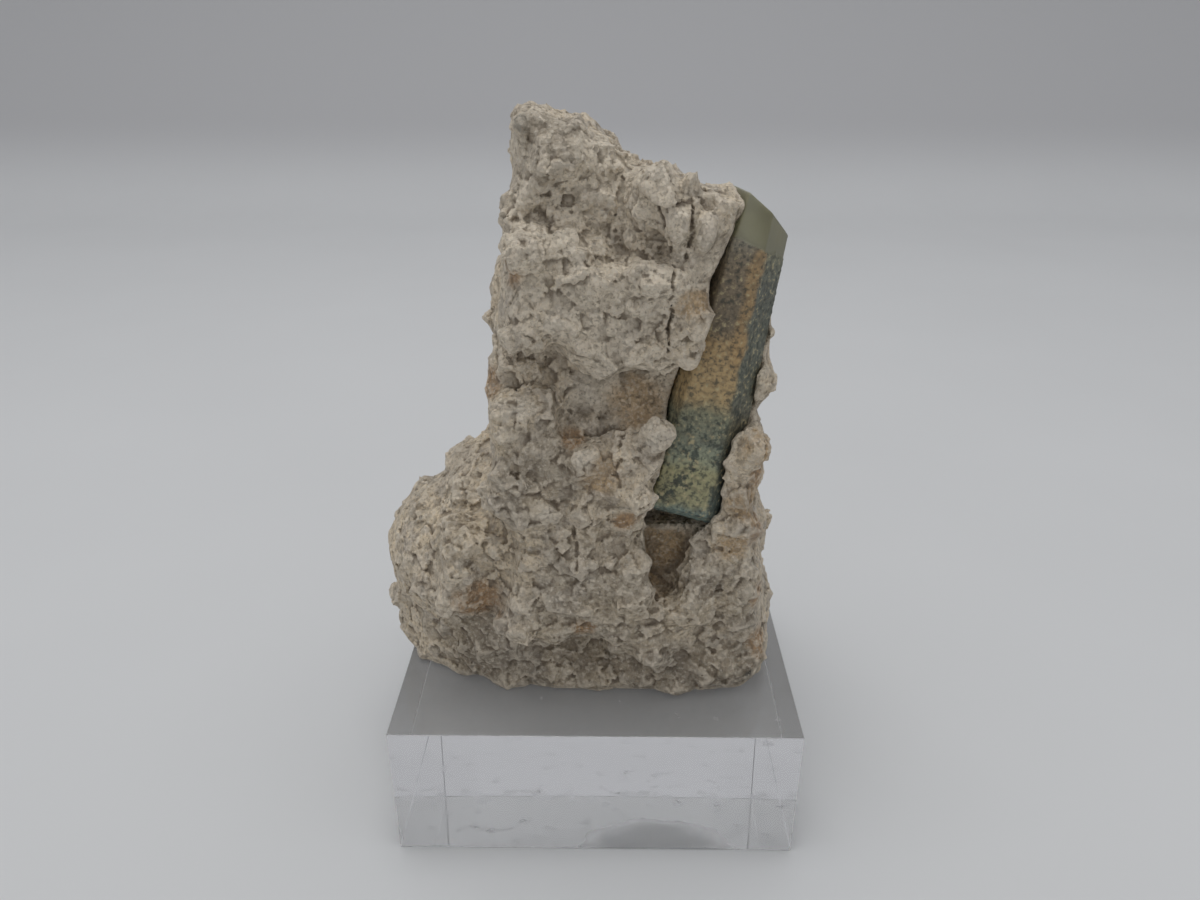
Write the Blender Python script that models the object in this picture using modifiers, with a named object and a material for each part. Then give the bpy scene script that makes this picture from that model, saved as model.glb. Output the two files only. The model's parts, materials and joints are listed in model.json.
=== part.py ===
"""An aquamarine crystal in its feldspar matrix, standing on a clear square display block.

Units are metres, +Z is up, the front faces -Y, and the origin is the middle of the block's underside.
The matrix is blocked out from rounded masses and angular blocks, covered with cleavage fragments,
made one skin, thinned to a few thousand triangles and then cut for the crystal, its mould and the base.
Shapes are listed in millimetres and degrees; MM takes them to metres.
"""

import math
import random

import bmesh
import bpy
from mathutils import Euler, Matrix, Vector

MM = 0.001

# Display block, a stock acrylic square
BLOCK_SIDE = 50.8
BLOCK_HEIGHT = 19.05
BLOCK_CHAMFER = 0.5

# Gap kept between pieces that touch
CLEARANCE = 0.3
REST_HEIGHT = BLOCK_HEIGHT + CLEARANCE

# Standing slab of the matrix: its thickness, the middle of it, and how far its front leans back
SLAB_THICKNESS = 20.0
SLAB_MIDDLE = -4.5
SLAB_LEAN = 2.2

# Skin of the matrix: point spacing and smoothing steps of the rough form and of the finished skin
FORM_VOXEL = 0.9
FORM_SMOOTHING = 3
SKIN_VOXEL = 0.55
SKIN_SMOOTHING = 1
MATRIX_TRIANGLES = 8900

# The slab seen from the front, (x, z), clockwise from its lower left
SLAB_OUTLINE = [
    (-11.0, 21.0), (-12.4, 40.0), (-12.2, 58.5), (-11.3, 66.0), (-10.0, 73.5),
    (-9.0, 80.0), (-8.6, 85.6), (-8.6, 88.2), (-1.6, 87.2), (0.0, 85.8),
    (2.4, 83.4), (5.0, 81.8), (8.6, 81.4), (10.6, 79.4), (13.0, 78.2),
    (16.0, 77.2), (18.0, 73.0), (19.8, 68.0), (19.4, 62.0), (18.8, 56.0),
    (19.0, 50.0), (19.4, 43.0), (20.2, 36.0), (21.2, 29.0), (21.4, 21.0),
]

# Rounded masses: centre, half sizes, turn
LUMPS = [
    ((-13.0, -2.0, 31.0), (15.8, 13.6, 12.0), (0, 10, 0)),
    ((-11.0, -1.0, 37.6), (11.0, 11.4, 9.0), (0, 40, 0)),
    ((2.0, -5.6, 36.0), (17.0, 12.0, 15.0), (0, 0, 0)),
    ((13.6, -6.2, 35.0), (7.2, 11.0, 15.6), (0, -4, 0)),
    ((0.0, 4.0, 44.0), (15.0, 8.6, 20.0), (8, 0, 0)),
    ((-3.6, -6.4, 84.2), (4.4, 9.0, 3.8), (0, 8, 0)),
    ((2.6, 1.6, 66.0), (11.0, 6.6, 16.0), (-6, 6, 0)),
]

# Outline of the foot, (x, y), and the heights at which it is widest and how much it draws in elsewhere
FOOT_OUTLINE = [
    (-29.0, -0.5), (-26.4, -8.0), (-22.6, -12.2), (-16.5, -14.8), (-11.7, -16.2), (-5.1, -17.6),
    (2.1, -17.5), (9.8, -17.4), (14.9, -17.6), (19.2, -17.0), (21.2, -13.8), (23.0, -10.3),
    (24.0, -2.9), (22.0, 6.0), (14.0, 11.0), (2.0, 12.6), (-12.0, 12.2), (-21.6, 9.4), (-26.4, 5.0),
]
FOOT_RINGS = [(17.0, 0.97), (21.0, 1.0), (27.0, 0.99), (34.0, 0.90)]

# Angular blocks that give the front its steps: centre, half sizes, turn
STEPS = [
    # brow above the cleavage plane, its underside stepping down towards the crystal
    ((-4.8, -12.4, 71.8), (4.6, 4.0, 5.4), (6, 6, 8)),
    ((2.2, -12.6, 68.6), (5.2, 4.4, 5.4), (10, -12, -4)),
    ((7.0, -12.8, 69.0), (3.2, 4.2, 5.6), (4, 8, 6)),
    ((9.6, -13.0, 71.6), (2.2, 3.8, 5.0), (2, 14, 4)),
    # upper edge by the crystal
    ((5.8, -11.0, 80.4), (2.4, 5.0, 2.6), (-8, 6, 4)),
    ((9.4, -11.8, 78.6), (2.0, 4.6, 3.0), (-4, -8, 10)),
    ((12.8, -11.6, 78.0), (1.6, 4.4, 2.8), (0, 12, -6)),
    # left shoulder under the brow and the rough face below it
    ((-7.8, -13.6, 55.0), (4.2, 3.6, 4.6), (4, -4, 10)),
    ((-6.4, -14.4, 48.8), (5.6, 3.2, 4.8), (-6, 10, 6)),
    ((0.2, -14.6, 49.8), (4.6, 3.0, 3.6), (-10, -16, -4)),
    ((5.2, -14.2, 53.4), (2.4, 3.0, 3.4), (6, 18, 12)),
    ((3.2, -15.0, 46.0), (3.2, 2.8, 3.0), (-4, 30, 8)),
    ((-5.6, -15.6, 43.4), (4.0, 2.6, 3.2), (-8, 40, 0)),
    # lower ledge over the undercut base
    ((-12.6, -12.6, 36.4), (6.8, 3.6, 5.0), (4, 8, 16)),
    ((-3.4, -15.6, 34.8), (6.6, 3.2, 5.4), (4, 4, -2)),
    ((3.8, -15.8, 34.0), (4.6, 3.4, 6.2), (2, -14, 4)),
    ((7.6, -15.4, 29.6), (3.4, 3.2, 4.4), (0, 22, 6)),
    # shoulder that covers the lower right of the crystal
    ((17.2, -13.8, 49.6), (2.0, 3.4, 5.4), (4, 4, -10)),
    ((16.2, -15.0, 40.6), (2.6, 2.8, 4.4), (-4, -10, -8)),
    ((16.6, -14.2, 32.4), (3.4, 3.2, 5.6), (4, 8, -6)),
    ((17.2, -12.4, 24.8), (4.6, 4.0, 3.8), (0, -6, -14)),
    # right side
    ((16.8, -3.6, 63.0), (2.4, 4.6, 6.0), (10, -8, 6)),
    ((16.4, 1.0, 50.0), (3.0, 5.6, 6.4), (-8, 6, -10)),
    ((18.4, -4.0, 38.0), (2.4, 6.0, 5.2), (14, 4, 8)),
    ((19.2, 2.4, 28.0), (3.8, 5.4, 5.0), (-10, -8, -14)),
    # left side of the slab and the top
    ((-9.2, -2.0, 66.0), (2.6, 5.4, 6.2), (8, 2, -6)),
    ((-7.6, 0.6, 79.0), (2.4, 4.8, 5.4), (-10, 4, 8)),
    ((-3.6, 1.0, 82.4), (4.0, 4.4, 3.8), (10, -6, 14)),
    ((7.2, 0.4, 77.4), (4.8, 4.8, 3.2), (-8, 14, -10)),
    # back
    ((-2.0, 7.0, 62.0), (7.6, 3.0, 8.4), (-12, 12, 8)),
    ((9.4, 7.2, 48.0), (7.0, 3.8, 7.2), (6, -18, -10)),
    ((-4.4, 9.4, 47.0), (5.4, 3.4, 6.6), (-16, -14, 12)),
    ((-14.2, 8.8, 33.8), (7.4, 4.0, 6.0), (-10, 12, 14)),
    ((3.4, 10.8, 34.0), (7.6, 3.6, 7.4), (-4, 20, -6)),
    ((14.0, 7.8, 27.0), (7.0, 4.6, 5.4), (-8, -14, -10)),
    ((5.4, 5.4, 74.0), (6.0, 3.4, 6.0), (-14, -16, 6)),
    ((-5.0, 4.6, 76.0), (3.8, 3.6, 5.0), (-8, 10, -10)),
]

# Hollows struck out of the form: centre, half sizes, turn
HOLLOWS = [
    # flat cleavage plane under the brow
    ((3.2, -18.6, 59.0), (8.0, 4.6, 3.9), (-3, -2, -3)),
    # recess under the top knob, and the pit in the upper face
    ((-1.2, -17.6, 84.6), (4.8, 3.4, 1.5), (10, 16, 0)),
    ((-2.2, -17.6, 73.6), (2.6, 2.6, 1.4), (20, -20, 0)),
    # undercut of the base below the lower ledge
    ((-9.0, -20.2, 26.4), (11.0, 4.2, 2.4), (-14, 3, 8)),
    ((6.0, -20.4, 24.6), (9.6, 3.8, 1.6), (-12, -10, -4)),
    # notches in the back
    ((6.0, 11.8, 61.0), (7.0, 3.6, 2.0), (12, 14, 0)),
    ((-3.0, 14.8, 53.6), (9.0, 4.4, 2.2), (-8, -12, 8)),
    ((12.0, 13.0, 38.6), (6.6, 3.6, 2.4), (6, 20, -12)),
    # notch in the right side
    ((23.6, 2.0, 43.6), (3.4, 7.0, 1.6), (8, 14, 0)),
]

# Cleavage fragments that cover the skin
FRAGMENT_SEED = 11
FRAGMENT_COUNT = 620
FRAGMENT_HALF = (0.9, 2.5)
FRAGMENT_TURN = (14.0, 24.0, 38.0)
FRAGMENT_SWING = 30.0
FRAGMENT_SINK = 0.5
# The sides of the slab broke flatter than its front, so fragments sit deeper there
SIDE_SINK = 0.35
# A fragment's corners are drawn in by up to this share, so that no two are alike
FRAGMENT_CORNER = 0.72
# The cleavage plane stays smooth: no fragment is set inside this box, given by two corners
SMOOTH_BOX = ((-5.0, -20.0, 55.5), (10.5, -10.0, 63.2))

# The crystal's six edges, as (x, y) at two heights: left, front, right and the three that are buried.
# Each side runs the same way at both heights, so that the tapering faces are flat.
CRYSTAL_LOW = 43.0
CRYSTAL_HIGH = 77.0
EDGES_LOW = [(5.8, -16.0), (12.8, -17.5), (16.0, -13.4), (13.9, -9.8), (7.8, -9.4), (4.8, -12.2)]
EDGES_HIGH = [(14.5, -15.2), (17.7, -15.89), (20.7, -12.04), (18.8, -8.78), (15.9, -8.59), (13.38, -10.94)]
CRYSTAL_FOOT = 41.0
CRYSTAL_HEAD = 86.0
# Planes that end it, as a point and the direction that is cut away
CRYSTAL_CUTS = [
    ((15.4, -15.6, 82.1), (0.66, 0.16, 0.75)),
    ((14.9, -14.8, 81.4), (-0.74, -0.14, 0.66)),
    ((17.0, -9.6, 80.0), (0.05, 0.80, 0.60)),
    ((20.4, -14.2, 77.9), (0.94, -0.26, 0.30)),
    ((6.0, -16.0, 44.9), (-0.27, 0.05, -0.96)),
    ((6.0, -16.1, 46.2), (-0.22, -0.62, -0.75)),
]

# How far right the opening in front of the crystal reaches, (height, x): the matrix laps over the
# crystal's right face low down and leaves it free higher up
LAP_EDGE = [(41.0, 13.2), (50.0, 14.7), (54.0, 15.4), (58.0, 17.4), (78.0, 22.4)]
LAP_LEAST = 0.05
OPEN_FRONT = -30.0
# The socket's corners stand off the crystal's by this much, which leaves the clearance between the faces
SOCKET_GROW = 0.405
SOCKET_HEIGHTS = (41.6, 50.0, 54.0, 58.0, 86.0)

# Mould left by the crystal's lost lower end: its opening, (x, z), and the depth of its floor
MOULD_OUTLINE = [
    (6.4, 46.0), (13.4, 46.0), (12.9, 42.4), (11.7, 39.8), (11.2, 37.2), (10.1, 35.6),
    (9.9, 33.6), (8.0, 33.1), (6.6, 34.3), (5.5, 35.2), (6.3, 38.0), (5.8, 41.0),
]
MOULD_FLOOR = -13.2

# Block that cuts the base flat, wider than the matrix
BASE_CUT_HALF = 60.0
BASE_CUT_DEPTH = 20.0


def placed(centre, half, turn):
    """Takes a shape of half size one, standing at the origin, to its size, turn and place."""
    spin = Euler([math.radians(angle) for angle in turn]).to_matrix().to_4x4()
    size = Matrix.Diagonal((*[side * MM for side in half], 1.0))
    return Matrix.Translation(Vector(centre) * MM) @ spin @ size


def new_object(name, bm):
    """Writes a bmesh to a new object in the scene and frees it."""
    mesh = bpy.data.meshes.new(name)
    bmesh.ops.recalc_face_normals(bm, faces=bm.faces)
    bm.to_mesh(mesh)
    bm.free()
    obj = bpy.data.objects.new(name, mesh)
    bpy.context.scene.collection.objects.link(obj)
    return obj


def apply_modifiers(obj):
    """Takes the object's modifiers into its mesh."""
    graph = bpy.context.evaluated_depsgraph_get()
    mesh = bpy.data.meshes.new_from_object(obj.evaluated_get(graph))
    obj.modifiers.clear()
    obj.data = mesh


def remesh(obj, voxel, smoothing):
    """Makes all shapes in the object one even skin, a little smoothed."""
    skin = obj.modifiers.new("one skin", "REMESH")
    skin.mode = "VOXEL"
    skin.voxel_size = voxel * MM
    soften = obj.modifiers.new("soften", "SMOOTH")
    soften.factor = 0.5
    soften.iterations = smoothing
    apply_modifiers(obj)


def cut(obj, cutter, collection):
    """Boolean difference, with the cutter kept aside as a guide."""
    cutter.hide_render = True
    cutter.display_type = "WIRE"
    bpy.context.scene.collection.objects.unlink(cutter)
    collection.objects.link(cutter)
    difference = obj.modifiers.new(cutter.name, "BOOLEAN")
    difference.operation = "DIFFERENCE"
    difference.object = cutter
    apply_modifiers(obj)


def loft(name, rings):
    """A closed solid through rings of equal corner count, each a list of (x, y, z)."""
    bm = bmesh.new()
    rows = [[bm.verts.new(Vector(corner) * MM) for corner in ring] for ring in rings]
    for lower, upper in zip(rows, rows[1:]):
        for i in range(len(lower)):
            j = (i + 1) % len(lower)
            bm.faces.new((lower[i], lower[j], upper[j], upper[i]))
    bm.faces.new(rows[0][::-1])
    bm.faces.new(rows[-1])
    return new_object(name, bm)


def prism(name, outline, front, back):
    """The (x, z) outline as a flat curve with thickness, made a mesh between two depths."""
    curve = bpy.data.curves.new(name, "CURVE")
    curve.dimensions = "2D"
    curve.fill_mode = "BOTH"
    curve.extrude = (back - front) / 2 * MM
    spline = curve.splines.new("POLY")
    spline.points.add(len(outline) - 1)
    for point, (x, z) in zip(spline.points, outline):
        point.co = (x * MM, z * MM, 0, 1)
    spline.use_cyclic_u = True
    guide = bpy.data.objects.new(name, curve)
    guide.rotation_euler.x = math.radians(90)
    guide.location.y = (front + back) / 2 * MM
    bpy.context.scene.collection.objects.link(guide)
    bpy.context.view_layer.update()
    graph = bpy.context.evaluated_depsgraph_get()
    mesh = bpy.data.meshes.new_from_object(guide.evaluated_get(graph))
    bm = bmesh.new()
    bm.from_mesh(mesh)
    bm.transform(guide.matrix_world)
    bmesh.ops.remove_doubles(bm, verts=bm.verts, dist=0.01 * MM)
    bpy.data.objects.remove(guide)
    return new_object(name, bm)


def keep_largest_shell(obj):
    """Removes loose crumbs and sealed pockets that the skin leaves, keeping its biggest connected part."""
    bm = bmesh.new()
    bm.from_mesh(obj.data)
    unseen = set(bm.verts)
    shells = []
    while unseen:
        front = [unseen.pop()]
        shell = []
        while front:
            vert = front.pop()
            shell.append(vert)
            for edge in vert.link_edges:
                other = edge.other_vert(vert)
                if other in unseen:
                    unseen.remove(other)
                    front.append(other)
        shells.append(shell)
    shells.sort(key=len)
    for shell in shells[:-1]:
        bmesh.ops.delete(bm, geom=shell, context="VERTS")
    bm.to_mesh(obj.data)
    bm.free()


def form():
    """The rough form: the leaning slab, the rounded masses and the steps in one skin, with its hollows."""
    slab = prism("slab", SLAB_OUTLINE, SLAB_MIDDLE - SLAB_THICKNESS / 2, SLAB_MIDDLE + SLAB_THICKNESS / 2)
    bm = bmesh.new()
    bm.from_mesh(slab.data)
    pivot = Vector((0, SLAB_MIDDLE, REST_HEIGHT)) * MM
    lean = Matrix.Rotation(math.radians(-SLAB_LEAN), 3, "X")
    bmesh.ops.rotate(bm, verts=bm.verts, cent=pivot, matrix=lean)
    bpy.data.objects.remove(slab)
    foot_rings = [[(x * wide, y * wide, z) for x, y in FOOT_OUTLINE] for z, wide in FOOT_RINGS]
    foot = loft("foot", foot_rings)
    bm.from_mesh(foot.data)
    bpy.data.objects.remove(foot)
    for centre, half, turn in LUMPS:
        bmesh.ops.create_icosphere(bm, subdivisions=3, radius=1, matrix=placed(centre, half, turn))
    for centre, half, turn in STEPS:
        bmesh.ops.create_cube(bm, size=2, matrix=placed(centre, half, turn))
    rock = new_object("matrix", bm)
    remesh(rock, FORM_VOXEL, FORM_SMOOTHING)
    return rock


def strike_hollows(rock, cutters):
    """Cuts each hollow out of the rough form."""
    for number, (centre, half, turn) in enumerate(HOLLOWS):
        bm = bmesh.new()
        bmesh.ops.create_cube(bm, size=2, matrix=placed(centre, half, turn))
        cut(rock, new_object(f"hollow_{number}", bm), cutters)


def in_smooth_box(point):
    """Whether the point lies where the cleavage plane stays smooth."""
    low, high = SMOOTH_BOX
    return all(low[i] * MM < point[i] < high[i] * MM for i in range(3))


def add_fragments(rock):
    """Sets angular fragments into the skin, most of them turned with the crystal cleavage."""
    dice = random.Random(FRAGMENT_SEED)
    places = [(face.center.copy(), face.normal.copy()) for face in rock.data.polygons]
    bm = bmesh.new()
    bm.from_mesh(rock.data)
    for _ in range(FRAGMENT_COUNT):
        centre, normal = dice.choice(places)
        half = [dice.uniform(*FRAGMENT_HALF) for _ in range(3)]
        turn = [angle + dice.uniform(-FRAGMENT_SWING, FRAGMENT_SWING) for angle in FRAGMENT_TURN]
        if in_smooth_box(centre):
            continue
        sink = FRAGMENT_SINK + SIDE_SINK * abs(normal.x)
        sunk = centre / MM - normal * sum(half) / 3 * sink
        made = bmesh.ops.create_cube(bm, size=2, matrix=placed(sunk, half, turn))
        for vert in made["verts"]:
            away = vert.co - sunk * MM
            vert.co = sunk * MM + away * dice.uniform(FRAGMENT_CORNER, 1.0)
    bm.to_mesh(rock.data)
    bm.free()
    remesh(rock, SKIN_VOXEL, SKIN_SMOOTHING)


def thin(rock, triangles):
    """Collapses the skin to about this many triangles."""
    now = sum(len(face.vertices) - 2 for face in rock.data.polygons)
    collapse = rock.modifiers.new("thin", "DECIMATE")
    collapse.ratio = triangles / now
    collapse.use_collapse_triangulate = True
    apply_modifiers(rock)


def crystal_ring(height, grow):
    """The crystal's six corners at a height, moved out from its middle by a distance."""
    part = (height - CRYSTAL_LOW) / (CRYSTAL_HIGH - CRYSTAL_LOW)
    corners = [Vector(low).lerp(Vector(high), part) for low, high in zip(EDGES_LOW, EDGES_HIGH)]
    middle = sum(corners, Vector((0, 0))) / len(corners)
    grown = [corner + (corner - middle).normalized() * grow for corner in corners]
    return [(corner.x, corner.y, height) for corner in grown]


def lap_at(height):
    """How far right the opening in front of the crystal reaches at a height."""
    for (z_low, x_low), (z_high, x_high) in zip(LAP_EDGE, LAP_EDGE[1:]):
        if height <= z_high:
            return x_low + (x_high - x_low) * (height - z_low) / (z_high - z_low)
    return LAP_EDGE[-1][1]


def make_crystal():
    """The tapering prism, cut by the planes that end it."""
    crystal = loft("aquamarine", [crystal_ring(CRYSTAL_FOOT, 0), crystal_ring(CRYSTAL_HEAD, 0)])
    bm = bmesh.new()
    bm.from_mesh(crystal.data)
    for point, outward in CRYSTAL_CUTS:
        geom = [*bm.verts, *bm.edges, *bm.faces]
        found = bmesh.ops.bisect_plane(
            bm, geom=geom, plane_co=Vector(point) * MM, plane_no=Vector(outward), clear_outer=True
        )
        rim = [item for item in found["geom_cut"] if isinstance(item, bmesh.types.BMEdge)]
        bmesh.ops.edgeloop_fill(bm, edges=rim)
    bmesh.ops.recalc_face_normals(bm, faces=bm.faces)
    bm.to_mesh(crystal.data)
    bm.free()
    return crystal


def socket_ring(height):
    """The crystal's section grown by the clearance, and opened to the front as far as the lap allows."""
    left, front, right, *buried = [Vector(corner) for corner in crystal_ring(height, SOCKET_GROW)]
    lap = min(lap_at(height), right.x - LAP_LEAST)
    part = max(LAP_LEAST, (lap - front.x) / (right.x - front.x))
    meeting = front.lerp(right, part)
    open_left = Vector((left.x, OPEN_FRONT, height))
    open_right = Vector((meeting.x, OPEN_FRONT, height))
    return [open_left, open_right, meeting, right, *buried, left]


def make_matrix(cutters):
    """The matrix: rough form, hollows and fragments, thinned, then cut for the crystal, mould and base."""
    rock = form()
    strike_hollows(rock, cutters)
    add_fragments(rock)
    keep_largest_shell(rock)
    thin(rock, MATRIX_TRIANGLES)
    cut(rock, loft("crystal_socket", [socket_ring(height) for height in SOCKET_HEIGHTS]), cutters)
    cut(rock, prism("mould", MOULD_OUTLINE, OPEN_FRONT, MOULD_FLOOR), cutters)
    under = (0, 0, REST_HEIGHT - BASE_CUT_DEPTH)
    half = (BASE_CUT_HALF, BASE_CUT_HALF, BASE_CUT_DEPTH)
    bm = bmesh.new()
    bmesh.ops.create_cube(bm, size=2, matrix=placed(under, half, (0, 0, 0)))
    cut(rock, new_object("base_plane", bm), cutters)
    keep_largest_shell(rock)
    return rock


def make_block():
    """The acrylic block, with a small chamfer on every edge."""
    bm = bmesh.new()
    half = (BLOCK_SIDE / 2, BLOCK_SIDE / 2, BLOCK_HEIGHT / 2)
    bmesh.ops.create_cube(bm, size=2, matrix=placed((0, 0, BLOCK_HEIGHT / 2), half, (0, 0, 0)))
    block = new_object("display_block", bm)
    chamfer = block.modifiers.new("chamfer", "BEVEL")
    chamfer.width = BLOCK_CHAMFER * MM
    chamfer.segments = 2
    return block


def principled(name, colour, roughness, transmission=0.0, ior=1.5):
    """A material from a linear colour and its surface values."""
    material = bpy.data.materials.new(name)
    material.use_nodes = True
    shader = material.node_tree.nodes["Principled BSDF"]
    shader.inputs["Base Color"].default_value = (*colour, 1)
    shader.inputs["Roughness"].default_value = roughness
    shader.inputs["Metallic"].default_value = 0
    shader.inputs["Transmission Weight"].default_value = transmission
    shader.inputs["IOR"].default_value = ior
    material.diffuse_color = (*colour, 1)
    return material


def main():
    for obj in list(bpy.data.objects):
        bpy.data.objects.remove(obj)
    scene = bpy.context.scene.collection
    parts = bpy.data.collections.new("aquamarine_specimen")
    cutters = bpy.data.collections.new("cutters")
    scene.children.link(parts)
    scene.children.link(cutters)
    pieces = [
        (make_matrix(cutters), principled("feldspar", (0.48, 0.44, 0.37), 0.8)),
        (make_crystal(), principled("beryl", (0.16, 0.22, 0.19), 0.35)),
        (make_block(), principled("clear acrylic", (0.95, 0.96, 0.96), 0.05, 1.0, 1.49)),
    ]
    for obj, material in pieces:
        obj.data.materials.clear()
        obj.data.materials.append(material)
        scene.objects.unlink(obj)
        parts.objects.link(obj)


main()
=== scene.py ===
"""An aquamarine crystal in feldspar pegmatite, standing on a clear acrylic block."""

import json
import math
import random

import bpy
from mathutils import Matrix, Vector

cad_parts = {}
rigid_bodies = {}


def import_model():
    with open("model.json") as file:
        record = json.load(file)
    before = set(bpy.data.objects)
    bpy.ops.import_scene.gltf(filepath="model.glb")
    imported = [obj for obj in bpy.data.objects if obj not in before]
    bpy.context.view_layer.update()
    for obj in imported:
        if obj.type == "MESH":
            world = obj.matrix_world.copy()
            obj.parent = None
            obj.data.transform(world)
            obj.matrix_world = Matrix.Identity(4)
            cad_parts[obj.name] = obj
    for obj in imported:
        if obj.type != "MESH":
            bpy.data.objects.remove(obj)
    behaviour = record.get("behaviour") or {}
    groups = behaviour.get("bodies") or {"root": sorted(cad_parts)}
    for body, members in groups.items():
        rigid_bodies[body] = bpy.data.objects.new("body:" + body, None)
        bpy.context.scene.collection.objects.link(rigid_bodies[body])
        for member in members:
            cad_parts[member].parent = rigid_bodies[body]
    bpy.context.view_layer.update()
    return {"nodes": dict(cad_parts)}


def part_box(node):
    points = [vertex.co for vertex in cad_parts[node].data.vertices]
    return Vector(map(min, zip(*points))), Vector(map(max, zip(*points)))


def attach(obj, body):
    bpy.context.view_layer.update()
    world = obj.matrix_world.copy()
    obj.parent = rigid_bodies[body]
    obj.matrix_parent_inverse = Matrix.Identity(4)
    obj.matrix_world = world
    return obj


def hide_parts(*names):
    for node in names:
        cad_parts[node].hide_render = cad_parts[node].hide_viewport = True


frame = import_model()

MM = 0.001
ROCK = frame["nodes"]["matrix"]
CRYSTAL = frame["nodes"]["aquamarine"]
REST_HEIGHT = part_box("matrix")[0].z

# Spacing of the points of the finished rock and crystal
ROCK_VOXEL = 0.33 * MM
CRYSTAL_VOXEL = 0.17 * MM
# Points of a solid closer than this are one point
MERGE_DISTANCE = 0.001 * MM
# How strongly each pass of smoothing pulls a point to its neighbours
SMOOTH_FACTOR = 0.5

bpy.ops.object.select_all(action="DESELECT")


def linear(code):
    """sRGB hex to linear RGBA."""
    channels = [int(code[i:i + 2], 16) / 255 for i in (1, 3, 5)]
    return (*[c / 12.92 if c <= 0.04045 else ((c + 0.055) / 1.055) ** 2.4 for c in channels], 1.0)


def add(tree, kind, inputs=None, **settings):
    """Adds a node. An input is a value, an sRGB hex, a socket, or a node, meaning its first live output."""
    node = tree.nodes.new(kind)
    for name, value in settings.items():
        setattr(node, name, value)
    for name, value in (inputs or {}).items():
        if isinstance(value, str) and value.startswith("#"):
            value = linear(value)
        if isinstance(value, bpy.types.Node):
            value = next(socket for socket in value.outputs if socket.enabled)
        if isinstance(value, bpy.types.NodeSocket):
            tree.links.new(value, node.inputs[name])
        else:
            node.inputs[name].default_value = value
    return node


def warped(tree, place, size, reach):
    """The place, moved about by up to reach by noise of this size, so that no border runs dead straight."""
    drift = add(tree, "ShaderNodeTexNoise", {"Vector": place, "Scale": 1 / size, "Detail": 2.0})
    centred = add(tree, "ShaderNodeVectorMath", {0: drift.outputs["Color"], 1: (0.5, 0.5, 0.5)},
                  operation="SUBTRACT")
    moved = add(tree, "ShaderNodeVectorMath", {0: centred, "Scale": 2 * reach}, operation="SCALE")
    return add(tree, "ShaderNodeVectorMath", {0: place, 1: moved}, operation="ADD")


def only(obj):
    """Makes this the one selected and active object."""
    bpy.ops.object.select_all(action="DESELECT")
    obj.select_set(True)
    bpy.context.view_layer.objects.active = obj


def merged_copy(node, name):
    """A copy of a CAD node's mesh with its loose triangles merged."""
    piece = bpy.data.objects.new(name, node.data.copy())
    bpy.context.scene.collection.objects.link(piece)
    piece.data.materials.clear()
    only(piece)
    bpy.ops.object.mode_set(mode="EDIT")
    bpy.ops.mesh.select_all(action="SELECT")
    bpy.ops.mesh.remove_doubles(threshold=MERGE_DISTANCE)
    bpy.ops.object.mode_set(mode="OBJECT")
    return piece


def apply_modifier(piece, kind, **settings):
    """Puts a modifier on the piece with these settings and applies it."""
    modifier = piece.modifiers.new(kind.lower(), kind)
    for name, value in settings.items():
        setattr(modifier, name, value)
    only(piece)
    bpy.ops.object.modifier_apply(modifier=modifier.name)


def keep_largest_part(piece):
    """Deletes loose crumbs and sealed pockets, by what is not linked to the highest point."""
    mesh = piece.data
    highest = max(mesh.vertices, key=lambda vert: vert.co.z).index
    only(piece)
    bpy.ops.object.mode_set(mode="EDIT")
    bpy.ops.mesh.select_mode(type="VERT")
    bpy.ops.mesh.select_all(action="DESELECT")
    bpy.ops.object.mode_set(mode="OBJECT")
    mesh.vertices[highest].select = True
    bpy.ops.object.mode_set(mode="EDIT")
    bpy.ops.mesh.select_linked()
    bpy.ops.mesh.select_all(action="INVERT")
    bpy.ops.mesh.delete(type="VERT")
    bpy.ops.object.mode_set(mode="OBJECT")


def geometry_group(name):
    """An empty geometry node group, with its first output and its last input."""
    tree = bpy.data.node_groups.new(name, "GeometryNodeTree")
    tree.interface.new_socket(name="Geometry", in_out="INPUT", socket_type="NodeSocketGeometry")
    tree.interface.new_socket(name="Geometry", in_out="OUTPUT", socket_type="NodeSocketGeometry")
    start = tree.nodes.new("NodeGroupInput").outputs[0]
    finish = tree.nodes.new("NodeGroupOutput").inputs[0]
    return tree, start, finish


# Rock

# Places on the rock's front are given as they show from the camera, in mm across and up on this plane
SEEN_PLANE = -17

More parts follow.
